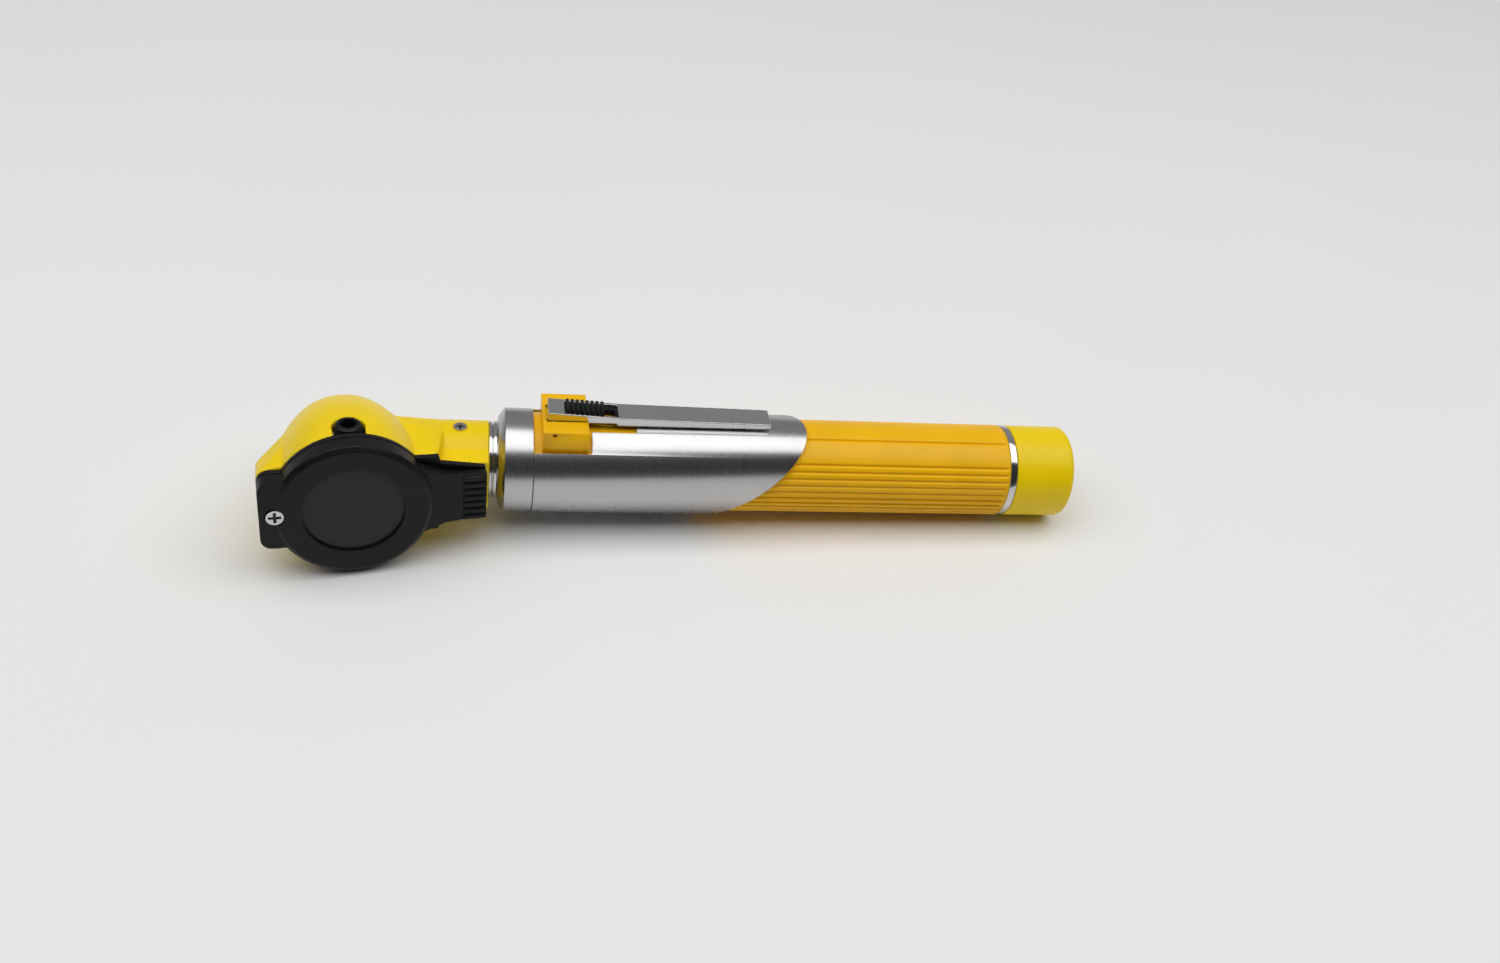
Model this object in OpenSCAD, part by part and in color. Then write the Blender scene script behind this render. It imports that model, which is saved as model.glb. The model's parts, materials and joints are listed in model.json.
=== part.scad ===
// Pocket otoscope lying on its side: swing-away magnifier head on a two-cell handle.
// Instrument frame: +X along the handle to the tail, +Y toward the speculum seat,
// +Z toward the pocket clip, origin where the handle axis meets the viewing axis.

/* [Head] */
// lean of the viewing axis away from square with the handle, in degrees
head_tilt = 9; // [0:0.5:12]
// x where the viewing axis crosses the handle axis
head_x = -2.8; // [-5:0.1:3]
// outer radius of the round viewing ring
ring_r = 14.4; // [12:0.1:15]
// half-width of the pivot tab
tab_half = 7.4; // [6:0.1:10]
// distance from the viewing axis to the tab end
tab_end = 16.8; // [15:0.1:20]
// corner radius of the tab
tab_corner = 2.2; // [1:0.1:4]
// y of the joint plane between housing and rear frame
part_y = -13.2; // [-14.5:0.1:-11]
// depth of the domed housing behind the joint plane
dome_depth = 33.6; // [25:0.1:40]
// y where the dome is cut off at the speculum seat
dome_end_y = 6.4; // [4:0.1:8]
// housing wall
wall = 1.7; // [1:0.1:2.5]
// radius of the neck
neck_r = 7.65; // [6:0.05:8.5]
// x of the neck end
neck_end = 24.5; // [22:0.1:28]

/* [Viewing window] */
// clear radius of the window
window_r = 9.25; // [7:0.05:11]
// lens radius
lens_r = 10; // [8:0.1:12]
// front face of the lens frame
front_y = -18.2; // [-20:0.1:-16]
// x of the lens pivot
pivot_x = -14; // [-16:0.1:-12]
// pivot shank radius
pivot_r = 0.9; // [0.5:0.05:1.5]

/* [Speculum seat and air port] */
// radius of the speculum seat
seat_r = 6.3; // [5:0.05:8]
// y of the end of the cylindrical seat
seat_end_y = 9.6; // [8:0.1:12]
// y of the nose tip
tip_y = 13.6; // [11:0.1:16]
// outer radius of the nose tip
tip_r = 3; // [2.2:0.1:4]
// y of the air port's axis
port_y = -10.4; // [-12:0.1:-8]
// bore radius of the air port
port_bore_r = 1.5; // [1:0.05:2]
// outer radius of the air port
port_r = 2.35; // [2:0.05:3.5]
// top of the air port
port_top = 14.6; // [13:0.1:18]

/* [Handle] */
// outer radius of the metal sleeve
sleeve_r = 10.4; // [8:0.1:12]
// outer radius of the battery tube
tube_r = 9.55; // [8:0.1:11]
// radius of the battery bore
bore_r = 7.35; // [7.2:0.05:8]
// x of the collar front
collar_x = 26.2; // [25:0.1:30]
// x of the seam between collar and sleeve
seam_x = 33; // [30:0.1:38]
// x of the sleeve tip on the clip side
sleeve_tip_x = 87.5; // [75:0.5:95]
// x of the sleeve end on the far side
sleeve_low_x = 64; // [50:0.5:75]
// x of the tube end
tube_end = 131; // [120:0.5:140]
// x of the tail end
tail_end = 145.4; // [135:0.1:155]
// angle between grooves on the tube
groove_step = 9; // [6:1:15]

/* [Clip and switch] */
// clip width
clip_w = 5.5; // [4:0.1:8]
// clip sheet thickness
clip_t = 0.6; // [0.4:0.05:1]
// x of the clip tip
clip_end = 80; // [70:0.5:85]
// height of the clip top at its root
clip_top = 13.1; // [11:0.1:15]
// switch travel toward the tail
switch_travel = 2.6; // [1:0.1:4]
// number of teeth on the slide
teeth = 8; // [4:1:12]

/* [Cells] */
// cell radius
cell_r = 7.1; // [7:0.05:7.25]
// cell length with its button
cell_l = 50.5; // [49:0.1:51]

/* [Hidden] */
$fn = 96;
// resting pose
roll = -7;
pitch = 1.436;
rest = [-63.720, 3.430, 13.155];
// head
arm_end = 24.7;
frame_y = -14.3;
back_y = -14.55;
port_base = 12.3;
// switch section of the clip slopes by this much
slope_a = 3.6;
slope_b = 1;
bend_x = 49.5;
root_x = 35.6;
pin_x = 36.8;
pin_z = 10.6;
lean = 12;
cell_x = 31.3;
screw_x = 18.9;
plane_h = sleeve_tip_x - sleeve_low_x;
yellow = [0.92, 0.80, 0.10];
black = [0.07, 0.07, 0.08];
satin = [0.70, 0.70, 0.71];
bright = [0.85, 0.85, 0.86];
brass = [0.78, 0.62, 0.28];

// ---------- placing ----------
module posed() translate(rest) rotate([roll, pitch, 0]) children();
module in_head() posed() translate([head_x, 0, 0]) rotate([0, 0, head_tilt]) children();
module along_y(y) translate([0, y, 0]) rotate([-90, 0, 0]) children();
module along_x(x) translate([x, 0, 0]) rotate([0, 90, 0]) children();
module tube_x(x, len, r_out, r_in) along_x(x) difference() {
  cylinder(r = r_out, h = len);
  translate([0, 0, -1]) cylinder(r = r_in, h = len + 2);
}
module tube_y(y, len, r_out, r_in) along_y(y) difference() {
  cylinder(r = r_out, h = len);
  translate([0, 0, -1]) cylinder(r = r_in, h = len + 2);
}

// ---------- outlines ----------
// tab, with a gently arched end and round corners
module tab_2d(half = tab_half, stop = tab_end) {
  difference() {
    translate([-stop, -half]) square([stop, 2 * half]);
    for (s = [-1, 1]) scale([1, s]) difference() {
      translate([-stop - 1, half - tab_corner]) square([tab_corner + 1, tab_corner + 1]);
      translate([-stop + tab_corner, half - tab_corner]) circle(r = tab_corner, $fn = 48);
    }
  }
}
module head_2d(r = ring_r) {
  circle(r = r);
  tab_2d();
}
function dome_radius(r, d, y) = r * pow(1 - pow((y - part_y) / d, 2.43), 1.12);
function dome_points(r, d, y1, n) =
  [for (i = [0:n]) let (y = part_y + (y1 - part_y) * sin(90 * i / n)) [dome_radius(r, d, y), y]];
module dome(r, d, y1, n = 18) {
  rotate([-90, 0, 0]) rotate_extrude()
    polygon(concat([[0, part_y - 1], [r, part_y - 1]], dome_points(r, d, y1, n), [[0, y1]]));
}
module phillips(r, depth) {
  for (a = [0, 90]) rotate([0, 0, a])
    translate([-r * 0.72, -r * 0.17, -depth]) cube([r * 1.44, r * 0.34, depth + 1]);
}

// ---------- head ----------
// shapes of the bell are in the tilted frame of the viewing axis, the neck in the handle's frame
module bell() {
  dome(ring_r, dome_depth, dome_end_y);
  // tab, bevelled back into the dome
  hull() {
    along_y(part_y - 1) linear_extrude(1.6) tab_2d();
    along_y(-7.9) linear_extrude(0.6) tab_2d(6.2, tab_end - 0.1);
    along_y(-1) cylinder(r = 11.3, h = 3.5, $fn = 40);
  }
}
module neck() {
  along_x(2) cylinder(r = neck_r, h = neck_end - 2);
  // straight flanks up to the rear frame
  translate([4, -16, -5.7]) cube([neck_end - 4, 13, 11.4]);
}
module shoulder() {
  hull() {
    translate([head_x, 0, 0]) rotate([0, 0, head_tilt]) {
      along_y(part_y - 1) linear_extrude(10) translate([0, -8.3]) square([15.6, 16.6]);
      along_y(-7) cylinder(r = 9.4, h = 8, $fn = 40);
    }
    along_x(14.5) cylinder(r = neck_r - 0.02, h = 1.2, $fn = 40);
  }
}
module head_housing() color(yellow) difference() {
  union() {
    in_head() bell();
    posed() {
      neck();
      shoulder();
    }
  }
  in_head() {
    // flat joint face
    translate([-40, part_y - 20, -40]) cube([90, 20, 80]);
    // chamber behind the window
    dome(ring_r - wall, dome_depth - wall - 0.6, dome_end_y - 1.5, 14);
    // nose hole
    along_y(0) cylinder(r = 6.62, h = 12);
    // notch for the air port
    translate([-2.9, part_y - 1, 8]) cube([5.8, port_y - part_y + 1, 10]);
    translate([0, port_y, 8]) cylinder(r = 3, h = 10);
    // pivot screw hole
    translate([pivot_x, 0, 0]) along_y(part_y - 1) cylinder(r = pivot_r, h = 5.7);
  }
  posed() {
    // neck bore for the metal base
    along_x(6) cylinder(r = 5.02, h = 30);
    // side screw hole and its countersink
    translate([screw_x, 0, 0]) {
      cylinder(r = 0.8, h = 9);
      translate([0, 0, neck_r - 0.65]) cylinder(r = 1.32, h = 3);
    }
  }
}
module rear_frame() color(black) in_head() difference() {
  union() {
    along_y(frame_y) linear_extrude(part_y - frame_y) {
      head_2d(ring_r);
      polygon([[0, -9], [12.2, -8.6], [15.9, -8.6], [16.3, -7.1], [arm_end, -5.5],
        [arm_end, 5.5], [16.3, 7.1], [15.9, 8.6], [12.2, 8.6], [0, 9]]);
    }
    // locating rim inside the housing
    along_y(part_y - 0.1) cylinder(r = ring_r - wall - 0.05, h = 1.1);
  }
  along_y(-20) cylinder(r = window_r, h = 20);
  translate([pivot_x, 0, 0]) along_y(-20) cylinder(r = pivot_r, h = 20);
  // groove for the window seal
  tube_y(frame_y - 0.4, 0.8, 10.8, 9.8);
  // room for the air port
  translate([0, port_y, 8.6]) cylinder(r = 2.7, h = 8);
}
module window_seal() color([0.10, 0.10, 0.10]) in_head()
  tube_y(frame_y - 0.2, 0.6, 10.78, 9.82);

module air_port() color(black) in_head() translate([0, port_y, 0]) difference() {
  union() {
    translate([0, 0, port_base]) cylinder(r = port_r, h = port_top - port_base - 0.3);
    translate([0, 0, port_top - 0.31]) cylinder(r1 = port_r, r2 = port_r - 0.3, h = 0.31);
    translate([0, 0, port_base]) cylinder(r = 2.6, h = 1);
  }
  cylinder(r = port_bore_r, h = 30);
}
module nose() color(black) in_head() rotate([-90, 0, 0]) rotate_extrude() polygon([
  [4.42, 3.4], [7.4, 3.4], [7.4, dome_end_y - 1.55], [6.6, dome_end_y - 1.55], [6.6, dome_end_y - 0.1],
  [seat_r, dome_end_y + 0.15], [seat_r, seat_end_y], [seat_r - 0.5, seat_end_y + 0.5], [tip_r + 0.4, tip_y - 0.5],
  [tip_r, tip_y], [2.78, tip_y]]);
module light_guide() color([0.9, 0.92, 0.92]) in_head() rotate([-90, 0, 0]) rotate_extrude()
  polygon([[3.9, 3.5], [4.38, 3.5], [2.75, tip_y - 0.1], [2.35, tip_y - 0.1]]);
module fibre_rod() color([0.92, 0.93, 0.9]) posed()
  translate([12.3, 0, 0]) rotate([0, 0, 180 - 19]) along_x(0) cylinder(r = 0.7, h = 9.2, $fn = 48);
module lamp_bulb() color([0.95, 0.95, 0.9, 0.5]) posed() {
  along_x(14.6) cylinder(r = 1.6, h = 2.4);
  translate([14.6, 0, 0]) sphere(r = 1.6);
}
module lamp_base() color(brass) posed() {
  along_x(17) cylinder(r = 3.68, h = 1);
  along_x(18) cylinder(r = 2.3, h = 4.6);
}
module head_base() color(bright) posed() difference() {
  union() {
    along_x(11.5) cylinder(r = 5, h = 14.6);
    along_x(26.1) cylinder(r = 5.6, h = 2.9);
    along_x(29) cylinder(r1 = 5.6, r2 = 5.2, h = 0.4);
  }
  along_x(10) cylinder(r = 3.7, h = 30);
  translate([screw_x, 0, 3]) cylinder(r = 0.8, h = 4);
}
module head_insulator() color([0.9, 0.9, 0.88]) posed() tube_x(22.8, 6.4, 3.69, 1.2);
module head_contact() color(brass) posed() {
  along_x(22.6) cylinder(r = 1.19, h = 6.5);
  translate([28.5, 0, 0]) sphere(r = 1.19);
}
module neck_ring() color(bright) posed() difference() {
  union() {
    along_x(neck_end) cylinder(r = neck_r, h = 0.5);
    along_x(neck_end + 0.5) cylinder(r = neck_r - 0.45, h = 0.4);
    along_x(neck_end + 0.9) cylinder(r = neck_r, h = 0.6);
  }
  along_x(20) cylinder(r = 5, h = 10);
}
module side_screw() color(bright) posed() translate([screw_x, 0, 0]) difference() {
  union() {
    translate([0, 0, 4.1]) cylinder(r = 0.78, h = neck_r - 4.7);
    translate([0, 0, neck_r - 0.6]) cylinder(r = 1.3, h = 0.65);
  }
  translate([0, 0, neck_r + 0.05]) phillips(1.3, 0.35);
}
module pivot_screw() color(bright) in_head() translate([pivot_x, 0, 0]) difference() {
  union() {
    along_y(front_y + 0.6) cylinder(r = 0.88, h = 8.6);
    along_y(front_y + 0.1) cylinder(r = 1.6, h = 0.6);
  }
  along_y(front_y + 0.1) rotate([180, 0, 0]) phillips(1.6, 0.4);
}
module pivot_washer() color(satin) in_head() translate([pivot_x, 0, 0]) tube_y(back_y + 0.03, 0.19, 2.4, 0.95);

// ---------- swinging lens ----------
module lens_frame() color(black) in_head() difference() {
  union() {
    // round bezel with a small chamfer
    along_y(front_y) {
      cylinder(r1 = ring_r - 0.9, r2 = ring_r, h = 0.7);
      translate([0, 0, 0.7]) cylinder(r = ring_r, h = back_y - front_y - 0.7);
    }
    // pivot tab
    along_y(front_y + 0.4) linear_extrude(back_y - front_y - 0.4) tab_2d();
    // thumb arm, narrowing from the ring
    along_y(front_y + 1.8) linear_extrude(back_y - front_y - 1.8) polygon([[8, 9.6], [14.2, 6.9], [17, 5.7], [20, 5.3],
      [arm_end, 5.2], [arm_end, -5.2], [20, -5.3], [17, -5.7], [14.2, -6.9], [8, -9.6]]);
    // thumb ribs
    for (i = [-3:3]) translate([arm_end - 4.4, front_y + 1.3, i * 1.5 - 0.4]) cube([4.3, 0.6, 0.8]);
  }
  along_y(-20) cylinder(r = window_r, h = 20);
  along_y(front_y + 0.7) cylinder(r = lens_r + 0.02, h = 10);
  translate([pivot_x, 0, 0]) {
    along_y(-20) cylinder(r = 0.95, h = 20);
    along_y(-21) cylinder(r = 1.7, h = front_y + 21.78);
  }
}
module magnifier_lens() color([0.35, 0.36, 0.38, 0.5]) in_head() along_y(front_y + 0.7)
  rotate_extrude() polygon(concat([[0, 0.02], [lens_r, 0.02]],
    [for (i = [0:10]) let (r = lens_r * (10 - i) / 10) [r, 1.2 + 1.1 * (1 - pow(r / lens_r, 2))]]));
module lens_retainer() color(black) in_head() tube_y(front_y + 2.12, back_y - front_y - 2.22, lens_r, window_r);

// ---------- handle ----------
module collar() color(satin) posed() difference() {
  union() {
    along_x(collar_x) cylinder(r1 = sleeve_r - 1.9, r2 = sleeve_r - 0.1, h = 1.3);
    along_x(collar_x + 1.3) cylinder(r = sleeve_r - 0.1, h = seam_x - collar_x - 1.3);
  }
  along_x(20) cylinder(r = 5.65, h = 20);
  along_x(29.8) cylinder(r = bore_r, h = 10);
}
module sleeve_cut() {
  // slanted end: everything beyond a plane that leans with height, rounded at the tip
  a = atan2(plane_h, 2 * sleeve_r);
  rotate([lean, 0, 0]) translate([(sleeve_tip_x + sleeve_low_x) / 2, 0, 0]) rotate([0, a, 0])
    translate([0, -40, -60]) cube([80, 80, 120]);
}
module sleeve() color(satin) posed() difference() {
  along_x(seam_x) cylinder(r = sleeve_r, h = sleeve_tip_x - seam_x);
  along_x(seam_x - 1) cylinder(r = tube_r, h = 80);
  sleeve_cut();
  // cut-out under the clip root, with a narrow tail
  translate([seam_x - 1, -7.7, 4]) cube([12.2, 15.4, 10]);
  translate([40, -3.9, 5]) cube([13, 7.8, 10]);
}
module battery_tube() color(yellow) posed() difference() {
  union() {
    along_x(seam_x) cylinder(r = tube_r, h = tube_end - seam_x);
    along_x(tube_end) cylinder(r = 8.4, h = 6.4);
  }
  along_x(seam_x - 1) cylinder(r = bore_r, h = 130);
  // slot for the contact strip
  translate([seam_x + 3, -2.1, 0]) cube([120, 4.2, 7.75]);
  // window for the switch leaf
  translate([42.5, -1.6, 6]) cube([6, 3.2, 5]);
  // grooves over the side away from the clip
  for (a = [-21, 21]) rotate([a, 0, 0]) translate([55, -0.3, tube_r - 0.35]) cube([tube_end - 56, 0.6, 1]);
  for (a = [54:groove_step:306]) rotate([a, 0, 0])
    translate([55, -0.35, tube_r - 0.35]) cube([tube_end - 56, 0.7, 1]);
}
module clip_block() color(yellow) posed() difference() {
  translate([34.6, -7, 4]) cube([8.8, 14, 7.3]);
  along_x(30) cylinder(r = tube_r, h = 20);
  // slots for the clip ears and the flanges behind them
  for (s = [-1, 1]) translate([0, s * 2.5 - 0.5, 0]) {
    translate([root_x - 0.3, 0, 6]) cube([2.7, 1, 7]);
    translate([root_x - 0.3, 0, 10.2]) cube([9, 1, 3]);
  }
  // relief under the switch, leaving the pivot lug
  translate([38.4, -2.5, 10.2]) cube([6, 5, 3]);
  translate([pin_x, -10, pin_z]) rotate([-90, 0, 0]) cylinder(r = 0.47, h = 20);
}
module clip_pin() color(bright) posed()
  translate([pin_x, -3.6, pin_z]) rotate([-90, 0, 0]) cylinder(r = 0.46, h = 7.2);
module clip_spring() color(bright) posed() {
  translate([35.75, -1.5, 11.3]) cube([2.4, 3, 0.15]);
  translate([35.75, -1.5, 11.3]) cube([0.2, 3, 1.02]);
}
module contact_insulator() color([0.15, 0.15, 0.15]) posed() tube_x(29.9, 1.1, bore_r - 0.05, 1.5);
module handle_contact() color(brass) posed() {
  along_x(29.85) cylinder(r = 1.48, h = 1.15);
  along_x(31) cylinder(r = 2.4, h = 0.28);
}
module contact_strip() color(brass) posed() {
  translate([37, -2, 7.35]) cube([100, 4, 0.35]);
}
module cell(x, tint) color(tint) {
  along_x(x) cylinder(r = 2.7, h = 1);
  along_x(x + 1) cylinder(r = cell_r, h = cell_l - 1.2);
  along_x(x + cell_l - 0.2) cylinder(r = 5.2, h = 0.2);
}
module cell_1() posed() cell(cell_x, [0.25, 0.27, 0.30]);
module cell_2() posed() cell(cell_x + cell_l, [0.25, 0.27, 0.30]);
module tail_ring() color(bright) posed() tube_x(tube_end, 1.4, tube_r, 8.42);

// ---------- clip and switch ----------
// side profile of the clip: two straight runs, the far one nearly level
module clip_profile(t, t2) {
  x0 = root_x;
  x1 = bend_x;
  x2 = clip_end;
  z1 = clip_top - (x1 - x0) * tan(slope_a);
  z2 = z1 - (x2 - x1) * tan(slope_b);
  polygon([[x0, clip_top], [x1, z1], [x2, z2], [x2, z2 - t2], [x1, z1 - t], [x0, clip_top - t]]);
}
module on_side(half) translate([0, half, 0]) rotate([90, 0, 0]) linear_extrude(2 * half) children();
module clip() color(bright) posed() difference() {
  union() {
    on_side(clip_w / 2) clip_profile(clip_t, clip_t);
    for (s = [-1, 1]) translate([0, s * (clip_w / 2 - clip_t / 2), 0]) {
      difference() {
        on_side(clip_t / 2) clip_profile(1.8, 1.15);
        translate([30, -2, 0]) cube([19, 4, 10.9]);
      }
      // ears round the pivot pin
      translate([pin_x, 0, 0]) on_side(clip_t / 2) {
        translate([0, pin_z]) circle(r = 0.9);
        translate([-0.9, pin_z]) square([1.8, 1.5]);
      }
    }
    // pressed bump that meets the sleeve
    intersection() {
      translate([76.3, -clip_w / 2, 12.95]) rotate([-90, 0, 0]) cylinder(r = 2.35, h = clip_w);
      on_side(clip_w / 2) clip_profile(3, 3);
    }
  }
  // slot for the slide
  translate([38.9, -2.1, 9]) cube([7.8 + switch_travel, 4.2, 5]);
  // pin holes
  translate([pin_x, -10, pin_z]) rotate([-90, 0, 0]) cylinder(r = 0.5, h = 20);
}
module tilted(x) translate([root_x, 0, clip_top]) rotate([0, slope_a, 0]) translate([x - root_x, 0, 0]) children();
module switch_bed() color(black) posed() tilted(38.9) difference() {
  translate([0.1, -2.12, -2.1]) cube([10.8, 4.24, 1.45]);
  translate([2.5, -1.2, -3]) cube([7.4, 2.4, 4]);
}
module switch_slider() color(black) posed() tilted(38.9) {
  translate([0.15, -1.95, -0.55]) cube([7.5, 3.9, 0.6]);
  for (i = [0:teeth - 1]) translate([0.15 + i * 0.977, -1.95, 0.04]) cube([0.6, 3.9, 0.66]);
  translate([3.2, -0.9, -2]) cube([3.4, 1.8, 1.5]);
}
module switch_contact() color(brass) posed() tilted(38.9)
  translate([3.4, -0.85, -2.25]) cube([3, 1.7, 0.25]);

// ---------- tail ----------
module tail_cap() color(yellow) posed() along_x(tube_end + 1.55) rotate_extrude() {
  h = tail_end - tube_end - 1.55;
  polygon(concat([[8.47, 0], [tube_r, 0]],
    [for (i = [0:8]) [tube_r - 1.3 + 1.3 * cos(i * 90 / 8), h - 1.3 + 1.3 * sin(i * 90 / 8)]],
    [[0, h], [0, h - 2.4], [6.6, h - 2.4], [6.6, 5.4], [8.47, 5.4]]));
}
module tail_contact() color(brass) posed() along_x(tail_end - 2.9) cylinder(r = 6.4, h = 0.45);
module tail_spring() color(bright) posed() {
  x0 = cell_x + 2 * cell_l + 0.15;
  span = tail_end - 2.9 - x0;
  for (i = [0:4]) along_x(x0 + 0.4 + i * (span - 0.8) / 4) rotate_extrude()
    translate([4.4 - i * 0.0, 0]) circle(r = 0.4, $fn = 24);
  for (i = [0:3]) rotate([i * 90, 0, 0]) translate([x0 + 0.4 + i * (span - 0.8) / 4, 0, 4.4])
    rotate([0, 90, 0]) cylinder(r = 0.35, h = (span - 0.8) / 4, $fn = 24);
}

head_housing();
rear_frame();
window_seal();
air_port();
nose();
light_guide();
fibre_rod();
lamp_bulb();
lamp_base();
head_base();
head_insulator();
head_contact();
neck_ring();
side_screw();
pivot_screw();
pivot_washer();
lens_frame();
magnifier_lens();
lens_retainer();
collar();
sleeve();
battery_tube();
clip_block();
clip_pin();
clip_spring();
contact_insulator();
handle_contact();
contact_strip();
cell_1();
cell_2();
tail_ring();
clip();
switch_bed();
switch_slider();
switch_contact();
tail_cap();
tail_spring();
tail_contact();
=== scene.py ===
"""Looks of the pocket otoscope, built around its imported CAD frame.

Lengths are in millimetres in two local frames and become metres on the way out:
the handle frame (+X along the handle to the tail, +Z toward the clip) and the head frame,
whose +Y is the viewing axis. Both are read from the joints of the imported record.
"""

import json
import math

import bmesh
import bpy
from mathutils import Matrix, Vector


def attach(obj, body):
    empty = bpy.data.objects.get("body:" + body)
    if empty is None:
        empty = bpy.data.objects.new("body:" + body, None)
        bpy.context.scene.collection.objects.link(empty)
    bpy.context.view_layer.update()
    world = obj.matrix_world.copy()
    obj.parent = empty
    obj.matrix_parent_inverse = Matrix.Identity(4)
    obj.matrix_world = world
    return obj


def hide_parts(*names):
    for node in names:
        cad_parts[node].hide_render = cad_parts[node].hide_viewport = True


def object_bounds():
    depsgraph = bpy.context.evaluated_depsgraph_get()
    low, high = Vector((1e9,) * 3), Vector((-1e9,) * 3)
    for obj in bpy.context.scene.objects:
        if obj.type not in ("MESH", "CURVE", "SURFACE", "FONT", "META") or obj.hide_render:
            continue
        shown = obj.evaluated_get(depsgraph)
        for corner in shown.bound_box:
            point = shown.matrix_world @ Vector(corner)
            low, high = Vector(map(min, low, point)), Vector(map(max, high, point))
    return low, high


MM = 0.001

# camera: where it looks from, and the photograph's width in focal lengths
AZIMUTH, ELEVATION, ROLL = 14.55, 42.41, 9.94
DISTANCE = 0.2857
AIM_FROM_CENTRE = Vector((0.0133, 0.0, -0.0027))
AIM_DROP = -0.0018
SENSOR, FOCAL = 36.0, 33.6

# driving sizes of the design
TURN_X = 26.0  # handle-frame x of the head's turning joint
LENS_PIVOT = Vector((-14.0, -15.0, 0.0))  # head-frame place of the lens's pivot
SLEEVE_R, SLEEVE_WALL = 10.4, 0.85
SEAM_X, TIP_X, LOW_X, LEAN = 33.0, 87.5, 64.0, 12.0
CUT_END, CUT_HALF, TAIL_CUT_END, TAIL_CUT_HALF = 44.2, 7.7, 53.0, 3.9
TUBE_R, BORE_R, TUBE_END, TAIL_END = 9.55, 7.35, 131.0, 145.4
RIB_STEP, RIB_DEPTH, RIB_FROM = 9.0, 0.38, 55.0
COLLAR_X, SEAM_GAP, NECK_R = 26.2, 0.06, 7.65
SLEEVE_SPARE, SLEEVE_EASE, SLEEVE_STEPS = 6, 0.16, 256
TAIL_RING_R, CAP_LIP_R, CAP_ROUND, CAP_GAP = 8.42, 8.47, 1.3, 1.55
TUBE_STEPS, TUBE_STATIONS = 1080, 24
LENS_R, LENS_FRONT_Y, LENS_EDGE, LENS_DOME = 9.98, -17.49, 1.2, 1.1
# reach of the painted shade in the screws' cross recesses
PIVOT_RECESS_SHADE_R, SIDE_RECESS_SHADE_R = 1.25, 0.8
FLOOR_HALF, FLOOR_COLOUR = 8, (0.88, 0.885, 0.88)


# ---------- camera, made first ----------
def make_camera(centre):
    az, el, roll = (math.radians(a) for a in (AZIMUTH, ELEVATION, ROLL))
    look = Vector((math.sin(az) * math.cos(el), math.cos(az) * math.cos(el), -math.sin(el)))
    level = Vector((math.cos(az), -math.sin(az), 0))
    upright = level.cross(look)
    right = level * math.cos(roll) + upright * math.sin(roll)
    up = upright * math.cos(roll) - level * math.sin(roll)
    data = bpy.data.cameras.new("camera")
    data.sensor_width, data.lens = SENSOR, FOCAL
    data.clip_start, data.clip_end = 0.01, 20
    cam = bpy.data.objects.new("camera", data)
    bpy.context.scene.collection.objects.link(cam)
    axes = Matrix((right, up, -look)).transposed().to_4x4()
    place = centre + AIM_FROM_CENTRE - look * DISTANCE + up * AIM_DROP
    cam.matrix_world = Matrix.Translation(place) @ axes
    bpy.context.scene.camera = cam


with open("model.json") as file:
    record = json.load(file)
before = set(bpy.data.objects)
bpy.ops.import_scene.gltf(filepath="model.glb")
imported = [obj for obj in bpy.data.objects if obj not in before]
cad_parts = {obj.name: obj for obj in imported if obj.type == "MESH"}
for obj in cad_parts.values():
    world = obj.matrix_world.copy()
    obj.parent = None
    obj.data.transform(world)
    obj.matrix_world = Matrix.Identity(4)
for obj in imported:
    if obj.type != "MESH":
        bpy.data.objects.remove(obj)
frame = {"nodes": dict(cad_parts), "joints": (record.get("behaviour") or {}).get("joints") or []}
CAD_LOW, CAD_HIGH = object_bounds()
make_camera((CAD_LOW + CAD_HIGH) / 2)
NODES = frame["nodes"]
JOINTS = {j["name"]: j for j in frame["joints"]}


# ---------- the two local frames ----------
def axes_from(x, z, point, at):
    """A 4x4 that takes millimetres in a local frame to metres in the row frame."""
    x, z = Vector(x).normalized(), Vector(z).normalized()
    y = z.cross(x).normalized()
    turn = Matrix((x, y, z)).transposed()
    origin = Vector(point) - turn @ (Vector(at) * MM)
    return Matrix.Translation(origin) @ turn.to_4x4() @ Matrix.Scale(MM, 4)


HANDLE_X = Vector(JOINTS["head_turn"]["axis"])
HANDLE_Z = HANDLE_X.cross(-Vector(JOINTS["clip_flex"]["axis"]))
HANDLE = axes_from(HANDLE_X, HANDLE_Z, JOINTS["head_turn"]["pos_m"], (TURN_X, 0, 0))
HEAD_Y = Vector(JOINTS["lens_swing"]["axis"])
HEAD = axes_from(HEAD_Y.cross(HANDLE_Z), HANDLE_Z, JOINTS["lens_swing"]["pos_m"], LENS_PIVOT)


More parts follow.
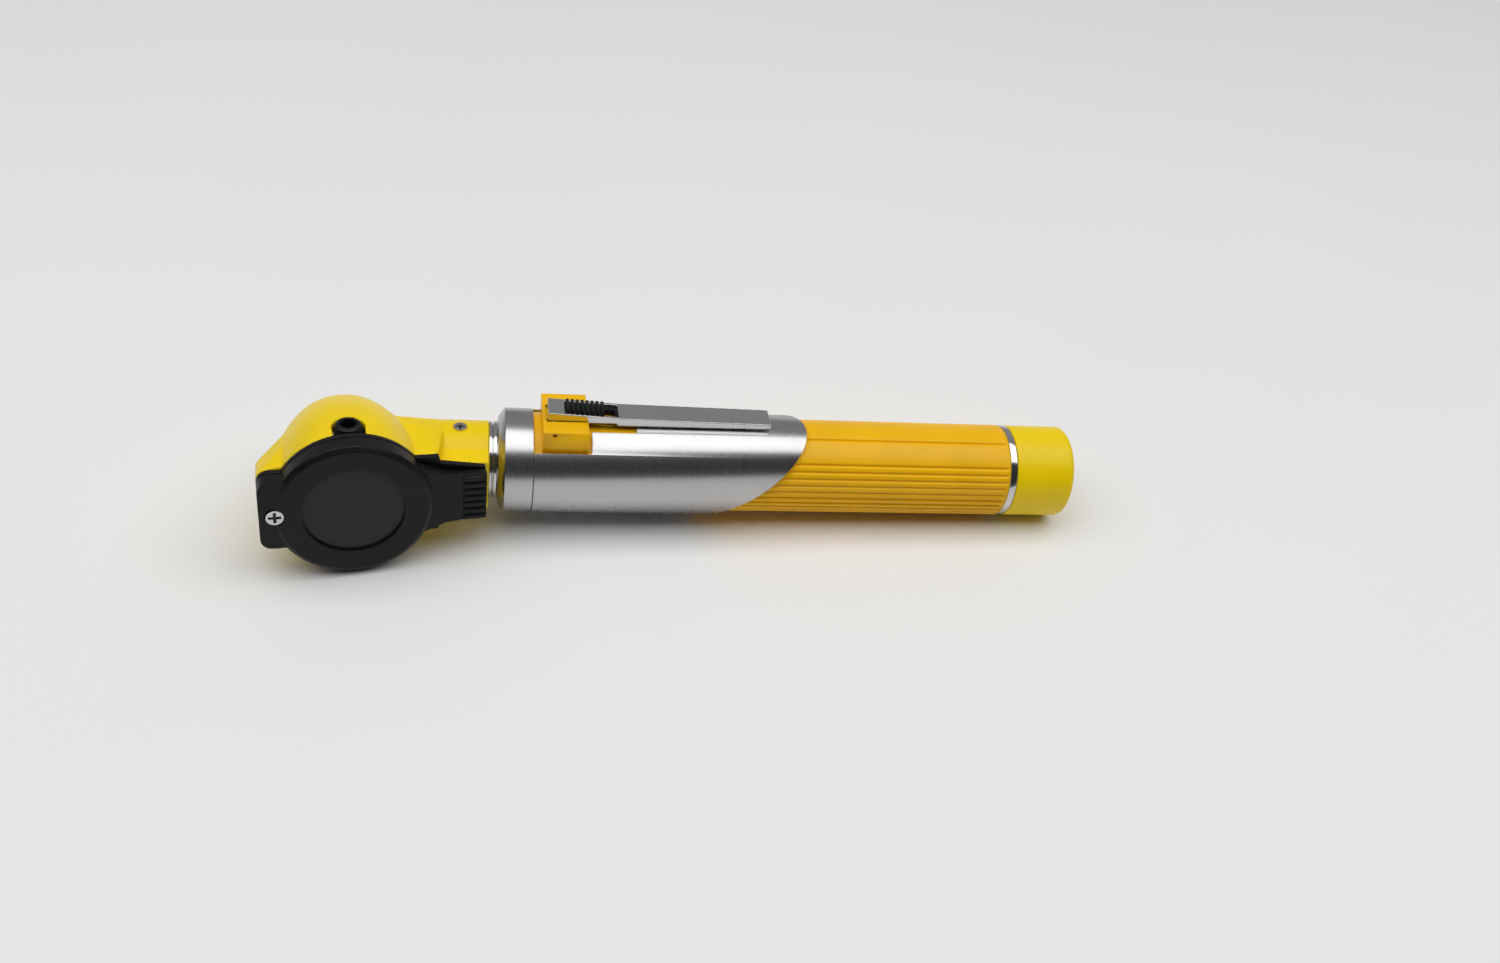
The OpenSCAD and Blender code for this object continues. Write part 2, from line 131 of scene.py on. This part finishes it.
# ---------- materials ----------
class Paint:
    """A node material whose detail is worked out from the object's own coordinates."""

    def __init__(self, name, base, **sockets):
        self.mat = bpy.data.materials.new(name)
        self.mat.use_nodes = True
        self.mat.diffuse_color = (*base, 1)
        self.tree = self.mat.node_tree
        self.shader = self.tree.nodes["Principled BSDF"]
        self.shader.inputs["Base Color"].default_value = (*base, 1)
        for key, value in sockets.items():
            self.shader.inputs[key.replace("_", " ")].default_value = value
        self.coords = self.add("ShaderNodeTexCoord").outputs["Object"]
        self.height = None

    def add(self, kind, **values):
        node = self.tree.nodes.new(kind)
        for key, value in values.items():
            setattr(node, key, value)
        return node

    def link(self, a, b):
        self.tree.links.new(a, b)

    def stretch(self, scale, turn=(0, 0, 0)):
        """Object coordinates turned and scaled, for grain that runs one way."""
        node = self.add("ShaderNodeMapping")
        node.inputs["Scale"].default_value = scale
        node.inputs["Rotation"].default_value = turn
        self.link(self.coords, node.inputs["Vector"])
        return node.outputs["Vector"]

    def noise(self, scale, detail=4.0, rough=0.55, vector=None):
        node = self.add("ShaderNodeTexNoise")
        node.inputs["Scale"].default_value = scale
        node.inputs["Detail"].default_value = detail
        node.inputs["Roughness"].default_value = rough
        self.link(vector or self.coords, node.inputs["Vector"])
        return node.outputs["Fac"]

    def ramp(self, source, stops):
        node = self.add("ShaderNodeValToRGB")
        while len(node.color_ramp.elements) < len(stops):
            node.color_ramp.elements.new(0.5)
        for element, (at, colour) in zip(node.color_ramp.elements, stops):
            element.position = at
            element.color = (*colour, 1)
        self.link(source, node.inputs["Fac"])
        return node.outputs["Color"]

    def span(self, source, low, high, lo_in=0.3, hi_in=0.7):
        node = self.add("ShaderNodeMapRange")
        for key, value in (("From Min", lo_in), ("From Max", hi_in), ("To Min", low), ("To Max", high)):
            node.inputs[key].default_value = value
        self.link(source, node.inputs["Value"])
        return node.outputs["Result"]

    def tint(self, source, stops):
        self.link(self.ramp(source, stops), self.shader.inputs["Base Color"])
        return self

    def rough(self, source, low, high):
        self.link(self.span(source, low, high), self.shader.inputs["Roughness"])
        return self

    def bump(self, source, strength, depth):
        node = self.add("ShaderNodeBump")
        node.inputs["Strength"].default_value = strength
        node.inputs["Distance"].default_value = depth
        self.link(source, node.inputs["Height"])
        if self.height is not None:
            self.link(self.height, node.inputs["Normal"])
        self.height = node.outputs["Normal"]
        self.link(self.height, self.shader.inputs["Normal"])
        return self

    def paint_edge_highlight(self, colour, sharpness=0.06, share=0.6):
        """Lightens convex edges: a painted highlight where edges catch the light."""
        geometry = self.add("ShaderNodeNewGeometry")
        mask = self.span(geometry.outputs["Pointiness"], 0, share, 0.5 + sharpness, 0.5 + 3 * sharpness)
        mix = self.add("ShaderNodeMix", data_type="RGBA")
        socket = self.shader.inputs["Base Color"]
        if socket.links:
            self.link(socket.links[0].from_socket, mix.inputs["A"])
        else:
            mix.inputs["A"].default_value = socket.default_value
        mix.inputs["B"].default_value = (*colour, 1)
        self.link(mask, mix.inputs["Factor"])
        self.link(mix.outputs["Result"], socket)
        return self


def near(base, spread):
    """Three ramp stops around a colour: darker, the colour, lighter."""
    return [
        (0.30, tuple(c * (1 - spread) for c in base)),
        (0.50, base),
        (0.72, tuple(min(1, c * (1 + spread)) for c in base)),
    ]


def yellow_plastic(name, base, roughness):
    p = Paint(name, base, Specular_IOR_Level=0.26, Subsurface_Weight=0.05, Subsurface_Scale=0.0006)
    p.shader.inputs["Subsurface Radius"].default_value = (1.0, 0.6, 0.1)
    # convex edges are painted a little lighter: a painted highlight
    p.tint(p.noise(90, 5), near(base, 0.05)).paint_edge_highlight(tuple(min(1, c * 1.1 + 0.01) for c in base), 0.05, 0.5)
    p.rough(p.noise(420, 6, 0.6), roughness - 0.05, roughness + 0.07)
    return p.bump(p.noise(3800, 3), 0.10, 0.00004).bump(p.noise(160, 2), 0.05, 0.0003).mat


def black_plastic(name, base, roughness, grain):
    p = Paint(name, base, Specular_IOR_Level=0.24)
    # convex edges are painted lighter: a painted highlight along the black edges
    p.tint(p.noise(140, 5), near(base, 0.16)).paint_edge_highlight((0.022, 0.022, 0.025), 0.05, 0.6)
    p.rough(p.noise(600, 6, 0.62), roughness - 0.06, roughness + 0.08)
    return p.bump(p.noise(grain, 4), 0.22, 0.00005).mat


def metal(name, base, roughness, along, across, depth):
    """Metal with faint lines that run one way: many along X, few across it."""
    p = Paint(name, base, Metallic=1.0)
    lines = p.noise(1.0, 3, 0.5, p.stretch((along, across, across)))
    cloud = p.noise(75, 4)
    p.tint(cloud, near(base, 0.035))
    grain = p.noise(1.0, 3, 0.5, p.stretch((along / 3, across * 2, across * 2)))
    p.rough(grain, roughness - 0.006, roughness + 0.008)
    return p.bump(lines, 0.02, depth).mat


def plain(name, base, roughness, spread=0.08, scale=200, **sockets):
    p = Paint(name, base, **sockets)
    p.tint(p.noise(scale, 4), near(base, spread))
    p.rough(p.noise(scale * 3, 5), roughness - 0.04, roughness + 0.06)
    return p.bump(p.noise(scale * 9, 3), 0.08, 0.00004).mat


def magnifier_glass():
    """Dark glass with a wiped film of dust on it."""
    base = (0.016, 0.0148, 0.0175)
    p = Paint("magnifier_glass", base, Coat_Weight=0.12, Coat_Roughness=0.12, Specular_IOR_Level=0.22)
    p.tint(p.noise(35, 6, 0.6), near(base, 0.12))
    p.rough(p.noise(1.0, 6, 0.65, p.stretch((60, 260, 60), (0, 0, 0.5))), 0.26, 0.40)
    return p.bump(p.noise(900, 4), 0.03, 0.00003).mat


LOOKS = {
    "yellow_plastic": yellow_plastic("moulded_yellow", (0.93, 0.66, 0.0), 0.34),
    # painted shade: a darker, more orange copy of the head's yellow plastic, standing in for shadow and warm
    # bounce light on the handle
    "handle_yellow_painted_shade": yellow_plastic("handle_yellow_painted_shade", (0.92, 0.50, 0.0), 0.32),
    "black_plastic": black_plastic("moulded_black", (0.0050, 0.0048, 0.0056), 0.40, 2600),
    "grip_black": black_plastic("grip_black", (0.0042, 0.0042, 0.0045), 0.34, 4200),
    "satin_chrome": metal("satin_chrome", (0.50, 0.495, 0.50), 0.27, 5200, 60, 0.000002),
    "bright_steel": metal("bright_steel", (0.62, 0.615, 0.61), 0.15, 1800, 90, 0.000001),
    # painted shade: near-black colour for the screws' cross recesses
    "recess": plain("screw_recess_shade", (0.03, 0.03, 0.03), 0.4, Metallic=0.6),
    "lens_glass": magnifier_glass(),
    "seal_rubber": plain("seal_rubber", (0.02, 0.02, 0.02), 0.6),
    "clear_acrylic": plain("fibre_ends", (0.78, 0.80, 0.80), 0.2),
    "lamp_glass": plain("lamp_glass", (0.9, 0.9, 0.86), 0.1, Transmission_Weight=0.6),
    "brass": metal("brass", (0.72, 0.52, 0.20), 0.24, 1200, 120, 0.00002),
    "white_plastic": plain("white_plastic", (0.8, 0.8, 0.77), 0.4),
    "cell_wrap": plain("cell_wrap", (0.05, 0.055, 0.065), 0.25),
}


# ---------- mesh tools ----------
def smooth_by_angle(mesh, degrees):
    mesh.shade_smooth()
    bm = bmesh.new()
    bm.from_mesh(mesh)
    limit = math.radians(degrees)
    for e in bm.edges:
        e.smooth = len(e.link_faces) == 2 and e.calc_face_angle(0) < limit
    bm.to_mesh(mesh)
    bm.free()


def settle(obj, body, look, *replaced, slot=None):
    """Gives a new piece its look and its body, and hides the CAD nodes that it stands for."""
    obj.data.materials.clear()
    obj.data.materials.append(LOOKS[look])
    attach(obj, body)
    if replaced:
        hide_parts(*replaced)
    return obj


def new_object(name, mesh):
    obj = bpy.data.objects.new(name, mesh)
    bpy.context.scene.collection.objects.link(obj)
    return obj


def baked(obj):
    """The object's modifiers become its mesh."""
    bpy.context.view_layer.update()
    done = bpy.data.meshes.new_from_object(obj.evaluated_get(bpy.context.evaluated_depsgraph_get()))
    obj.modifiers.clear()
    obj.data = done
    return obj


def moulded(node, name, voxel, passes):
    """The CAD shape with the soft edges and filled corners of a moulding."""
    obj = new_object(name, NODES[node].data.copy())
    remesh = obj.modifiers.new("even", "REMESH")
    remesh.mode, remesh.voxel_size = "VOXEL", voxel * MM
    soften = obj.modifiers.new("soften", "SMOOTH")
    soften.factor, soften.iterations = 0.5, passes
    baked(obj)
    obj.data.shade_smooth()
    return obj


def eased(node, name, width, segments=2, angle=35):
    """The CAD shape with its sharp edges rounded over."""
    obj = new_object(name, NODES[node].data.copy())
    bm = bmesh.new()
    bm.from_mesh(obj.data)
    bmesh.ops.remove_doubles(bm, verts=bm.verts, dist=2e-6)
    bmesh.ops.dissolve_limit(bm, angle_limit=math.radians(1.0), verts=bm.verts, edges=bm.edges)
    bm.to_mesh(obj.data)
    bm.free()
    bevel = obj.modifiers.new("ease", "BEVEL")
    bevel.width, bevel.segments, bevel.limit_method = width * MM, segments, "ANGLE"
    bevel.angle_limit, bevel.harden_normals = math.radians(angle), False
    baked(obj)
    smooth_by_angle(obj.data, 38)
    return obj


def lathe(name, profile, place, bevel, steps=160):
    """A turned ring or cap from a closed outline of (x, radius), round the local X axis."""
    bm = bmesh.new()
    loops = []
    for x, r in profile:
        if r < 1e-6:
            loops.append([bm.verts.new((x, 0, 0))] * steps)
            continue
        turn = [2 * math.pi * k / steps for k in range(steps)]
        loops.append([bm.verts.new((x, r * math.cos(t), r * math.sin(t))) for t in turn])
    for a, b in zip(loops, loops[1:] + loops[:1]):
        for k in range(steps):
            n = (k + 1) % steps
            corners = list(dict.fromkeys((a[k], a[n], b[n], b[k])))
            if len(corners) > 2:
                bm.faces.new(corners)
    bmesh.ops.recalc_face_normals(bm, faces=bm.faces)
    bm.transform(place)
    mesh = bpy.data.meshes.new(name)
    bm.to_mesh(mesh)
    bm.free()
    obj = new_object(name, mesh)
    if bevel:
        mod = obj.modifiers.new("ease", "BEVEL")
        mod.width, mod.segments, mod.limit_method = bevel * MM, 3, "ANGLE"
        mod.angle_limit = math.radians(32)
        baked(obj)
        smooth_by_angle(obj.data, 30)
    return obj


# ---------- handle ----------
def sleeve_piece():
    """The sleeve from a plain tube: the slanted end and the cut-out are cut from it."""
    start, end, inner = SEAM_X + SEAM_GAP, TIP_X + SLEEVE_SPARE, TUBE_R + 0.02
    outline = [(start, SLEEVE_R), (end, SLEEVE_R), (end, inner), (start, inner)]
    obj = lathe("sleeve_shell", outline, Matrix.Identity(4), 0, SLEEVE_STEPS)
    half = SLEEVE_R * 2
    angle = math.atan2(TIP_X - LOW_X, 2 * SLEEVE_R)
    slant = (
        Matrix.Rotation(math.radians(LEAN), 4, "X")
        @ Matrix.Translation(((TIP_X + LOW_X) / 2, 0, 0))
        @ Matrix.Rotation(angle, 4, "Y")
        @ Matrix.Translation((half * 2, 0, 0))
    )
    cut(obj, slant, (half * 4, half * 4, half * 8), 0)
    mid = (SEAM_X - 2 + CUT_END) / 2
    cut(obj, Matrix.Translation((mid, 0, 12)), (CUT_END - SEAM_X + 2, 2 * CUT_HALF, 16), 0.4)
    mid = (SEAM_X + TAIL_CUT_END) / 2
    cut(obj, Matrix.Translation((mid, 0, 12)), (TAIL_CUT_END - SEAM_X, 2 * TAIL_CUT_HALF, 14), 0.5)
    mod = obj.modifiers.new("ease", "BEVEL")
    mod.width, mod.segments, mod.limit_method = SLEEVE_EASE, 2, "ANGLE"
    mod.angle_limit = math.radians(40)
    baked(obj)
    smooth_by_angle(obj.data, 35)
    obj.data.transform(HANDLE)
    return settle(obj, "handle", "satin_chrome", "sleeve")


def cut(obj, place, size, corner):
    """Takes a box with rounded corners out of a piece."""
    bm = bmesh.new()
    bmesh.ops.create_cube(bm, size=1)
    bm.transform(Matrix.Diagonal((*size, 1)))
    if corner:
        upright = [e for e in bm.edges if abs(e.verts[0].co.z - e.verts[1].co.z) > 0.1]
        bmesh.ops.bevel(bm, geom=upright, offset=corner, segments=4, profile=0.5, affect="EDGES")
    bm.transform(place)
    mesh = bpy.data.meshes.new("cutter")
    bm.to_mesh(mesh)
    bm.free()
    cutter = new_object("cutter", mesh)
    mod = obj.modifiers.new("cut", "BOOLEAN")
    mod.operation, mod.solver, mod.object = "DIFFERENCE", "EXACT", cutter
    baked(obj)
    bpy.data.objects.remove(cutter)


def rib_radius(turn):
    """Rounded ribs all round, with a smooth band on each side of the clip line."""
    degrees = math.degrees(turn) % 360
    if 54 - RIB_STEP / 2 <= degrees <= 306 + RIB_STEP / 2:
        wave = 0.5 + 0.5 * math.cos(2 * math.pi * (degrees - 54) / RIB_STEP)
        return TUBE_R - RIB_DEPTH * wave**3
    side = min(abs(degrees - 21), abs(degrees - 339))
    return TUBE_R - RIB_DEPTH * math.exp(-((side / 1.4) ** 2))


def tube_piece():
    """The battery tube: ribs run from under the sleeve to a plain band at the tail."""
    stations = [(SEAM_X, 0), (RIB_FROM, 0), (RIB_FROM + 1, 1)]
    ribbed = TUBE_END - RIB_FROM - 2.2
    stations += [(RIB_FROM + 1 + ribbed * k / TUBE_STATIONS, 1) for k in range(1, TUBE_STATIONS + 1)]
    stations += [(TUBE_END - 0.7, 0.6), (TUBE_END - 0.25, 0), (TUBE_END, -1)]
    steps = TUBE_STEPS
    turns = [2 * math.pi * k / steps for k in range(steps)]
    ribs = [rib_radius(t) for t in turns]
    bm = bmesh.new()
    loops = []
    for x, depth in stations:
        ring = []
        for t, r in zip(turns, ribs):
            reach = TUBE_R + (r - TUBE_R) * depth if depth >= 0 else TUBE_R - 0.2
            ring.append(bm.verts.new((x, -reach * math.sin(t), reach * math.cos(t))))
        loops.append(ring)
    for x in (TUBE_END, SEAM_X):
        loops.append([bm.verts.new((x, -BORE_R * math.sin(t), BORE_R * math.cos(t))) for t in turns])
    for a, b in zip(loops, loops[1:] + loops[:1]):
        for k in range(steps):
            n = (k + 1) % steps
            bm.faces.new((a[k], a[n], b[n], b[k]))
    bmesh.ops.recalc_face_normals(bm, faces=bm.faces)
    bm.transform(HANDLE)
    mesh = bpy.data.meshes.new("ribbed_tube")
    bm.to_mesh(mesh)
    bm.free()
    obj = new_object("ribbed_tube", mesh)
    smooth_by_angle(obj.data, 40)
    # the tube takes the shaded copy of the yellow plastic: painted shade
    return settle(obj, "handle", "handle_yellow_painted_shade", "battery_tube", slot="yellow_plastic")


def turned_parts():
    r = SLEEVE_R - 0.1
    end = SEAM_X - SEAM_GAP
    collar = [(COLLAR_X, r - 1.8), (COLLAR_X + 1.3, r), (end, r), (end, BORE_R)]
    collar += [(29.8, BORE_R), (29.8, 5.65), (COLLAR_X, 5.65)]
    settle(lathe("collar_turned", collar, HANDLE, 0.14), "handle", "satin_chrome", "collar")
    ring = [(24.5, NECK_R), (25.0, NECK_R), (25.1, 7.2), (25.3, 7.2), (25.4, NECK_R), (26.0, NECK_R)]
    ring += [(26.0, 5.0), (24.5, 5.0)]
    settle(lathe("neck_ring_turned", ring, HANDLE, 0.08), "head", "bright_steel", "neck_ring")
    ring_end = TUBE_END + 1.4
    band = [(TUBE_END, TUBE_R), (ring_end, TUBE_R), (ring_end, TAIL_RING_R), (TUBE_END, TAIL_RING_R)]
    settle(lathe("tail_ring_turned", band, HANDLE, 0.12), "handle", "bright_steel", "tail_ring")
    x0, depth, round_r = TUBE_END + CAP_GAP, TAIL_END - TUBE_END - CAP_GAP, CAP_ROUND
    arc = [math.radians(9 * k) for k in range(11)]
    cap = [(x0, CAP_LIP_R), (x0, TUBE_R)]
    mid_x, mid_r = x0 + depth - round_r, TUBE_R - round_r
    cap += [(mid_x + round_r * math.sin(a), mid_r + round_r * math.cos(a)) for a in arc]
    floor_x, step_x = x0 + depth - 2.4, x0 + 5.4
    cap += [(x0 + depth, 0), (floor_x, 0), (floor_x, 6.6), (step_x, 6.6), (step_x, CAP_LIP_R)]
    settle(lathe("tail_cap_moulded", cap, HANDLE, 0.12), "cap", "yellow_plastic", "tail_cap")


# ---------- the rest of the pieces ----------
def soft_parts():
    settle(moulded("head_housing", "housing_moulded", 0.26, 7), "head", "yellow_plastic", "head_housing")
    settle(moulded("rear_frame", "frame_moulded", 0.16, 3), "head", "black_plastic", "rear_frame")
    settle(moulded("lens_frame", "lens_frame_moulded", 0.13, 4), "lens", "black_plastic", "lens_frame")
    settle(moulded("clip", "clip_pressed", 0.105, 4), "clip", "bright_steel", "clip")


def shade_screw_recess(obj, axis, reach):
    """Painted shade in the cross recess of a screw: faces below the head's top, near its middle, are painted
    dark.
    """
    axis = axis.normalized()
    height = [v.co.dot(axis) for v in obj.data.vertices]
    top = max(height)
    rim = [v.co for v in obj.data.vertices if v.co.dot(axis) > top - 0.02 * MM]
    centre = sum(rim, Vector()) / len(rim)
    obj.data.materials.append(LOOKS["recess"])
    for face in obj.data.polygons:
        away = face.center - centre
        deep = -away.dot(axis)
        side = (away + axis * deep).length
        if deep > 0.03 * MM and side < reach * MM and deep < 1.5 * MM:
            face.material_index = 1


def eased_parts():
    rows = (
        ("air_port", "air_port_moulded", 0.15, "head", "black_plastic"),
        ("nose", "speculum_seat_moulded", 0.15, "head", "black_plastic"),
        ("pivot_screw", "pivot_screw_head", 0.04, "head", "bright_steel"),
        ("side_screw", "side_screw_head", 0.03, "head", "bright_steel"),
        # the clip block also takes the shaded copy of the yellow plastic: painted shade
        ("clip_block", "clip_block_moulded", 0.22, "handle", "handle_yellow_painted_shade"),
        ("switch_bed", "switch_slot", 0.08, "clip", "black_plastic"),
        ("switch_slider", "switch_slide", 0.09, "slider", "grip_black"),
    )
    for node, name, width, body, look in rows:
        slot = {"grip_black": "black_plastic", "handle_yellow_painted_shade": "yellow_plastic"}.get(look, look)
        piece = settle(eased(node, name, width), body, look, node, slot=slot)
        # the screws' cross recesses get painted shade
        if node == "pivot_screw":
            shade_screw_recess(piece, -HEAD_Y, PIVOT_RECESS_SHADE_R)
        if node == "side_screw":
            shade_screw_recess(piece, HANDLE_Z, SIDE_RECESS_SHADE_R)


def lens_piece():
    """The magnifier: a domed disc behind its bezel."""
    r, steps = LENS_R, 24
    front = [(0.0, r * k / steps) for k in range(1, steps + 1)]
    shares = [k / steps for k in range(steps, 0, -1)]
    back = [(LENS_EDGE + LENS_DOME * (1 - s**2), r * s) for s in shares]
    spin = Matrix.Rotation(math.radians(90), 4, "Z")
    place = HEAD @ Matrix.Translation((0, LENS_FRONT_Y, 0)) @ spin
    disc = lathe("magnifier_glass_disc", [(0, 0)] + front + back + [(LENS_EDGE + LENS_DOME, 0)], place, 0.05)
    settle(disc, "lens", "lens_glass", "magnifier_lens")


INNER = {
    "window_seal": "seal_rubber", "light_guide": "clear_acrylic", "fibre_rod": "clear_acrylic",
    "lamp_bulb": "lamp_glass", "lamp_base": "brass", "head_base": "bright_steel",
    "head_insulator": "white_plastic", "head_contact": "brass", "pivot_washer": "bright_steel",
    "lens_retainer": "black_plastic", "clip_pin": "bright_steel", "clip_spring": "bright_steel",
    "contact_insulator": "seal_rubber", "handle_contact": "brass", "contact_strip": "brass",
    "cell_1": "cell_wrap", "cell_2": "cell_wrap", "switch_contact": "brass",
    "tail_spring": "bright_steel", "tail_contact": "brass",
}


def paint_inner():
    for node, look in INNER.items():
        obj = NODES[node]
        obj.data.materials.clear()
        obj.data.materials.append(LOOKS[look])
        smooth_by_angle(obj.data, 35)


# ---------- floor and light ----------
def make_floor():
    bm = bmesh.new()
    bmesh.ops.create_grid(bm, x_segments=2, y_segments=2, size=FLOOR_HALF)
    mesh = bpy.data.meshes.new("floor")
    bm.to_mesh(mesh)
    bm.free()
    floor = new_object("floor", mesh)
    p = Paint("floor_paper", FLOOR_COLOUR, Roughness=0.6, Specular_IOR_Level=0.25)
    p.tint(p.noise(6, 3), near(FLOOR_COLOUR, 0.010))
    mesh.materials.append(p.mat)


def softbox(name, place, aim, width, depth, watts):
    data = bpy.data.lights.new(name, "AREA")
    data.shape, data.size, data.size_y, data.energy = "RECTANGLE", width, depth, watts
    lamp = bpy.data.objects.new(name, data)
    lamp.location = place
    lamp.rotation_euler = (Vector(aim) - Vector(place)).to_track_quat("-Z", "Y").to_euler()
    bpy.context.scene.collection.objects.link(lamp)


def make_light():
    softbox("overhead", (0.0, -0.06, 0.85), (0, -0.06, 0), 2.2, 0.78, 11.0)
    world = bpy.data.worlds.new("studio")
    bpy.context.scene.world = world
    world.use_nodes = True
    tree = world.node_tree
    coords = tree.nodes.new("ShaderNodeTexCoord")
    split = tree.nodes.new("ShaderNodeSeparateXYZ")
    ramp = tree.nodes.new("ShaderNodeValToRGB")
    lift = tree.nodes.new("ShaderNodeMapRange")
    lift.inputs["From Min"].default_value, lift.inputs["From Max"].default_value = -1, 1
    near_side, far_side = ramp.color_ramp.elements
    near_side.position, near_side.color = 0.3, (0.035, 0.035, 0.036, 1)
    far_side.position, far_side.color = 0.85, (0.30, 0.30, 0.297, 1)
    tree.links.new(coords.outputs["Generated"], split.inputs["Vector"])
    tree.links.new(split.outputs["Y"], lift.inputs["Value"])
    tree.links.new(lift.outputs["Result"], ramp.inputs["Fac"])
    tree.links.new(ramp.outputs["Color"], tree.nodes["Background"].inputs["Color"])
    bpy.context.scene.view_settings.view_transform = "Standard"


sleeve_piece()
tube_piece()
turned_parts()
soft_parts()
eased_parts()
lens_piece()
paint_inner()
make_floor()
make_light()
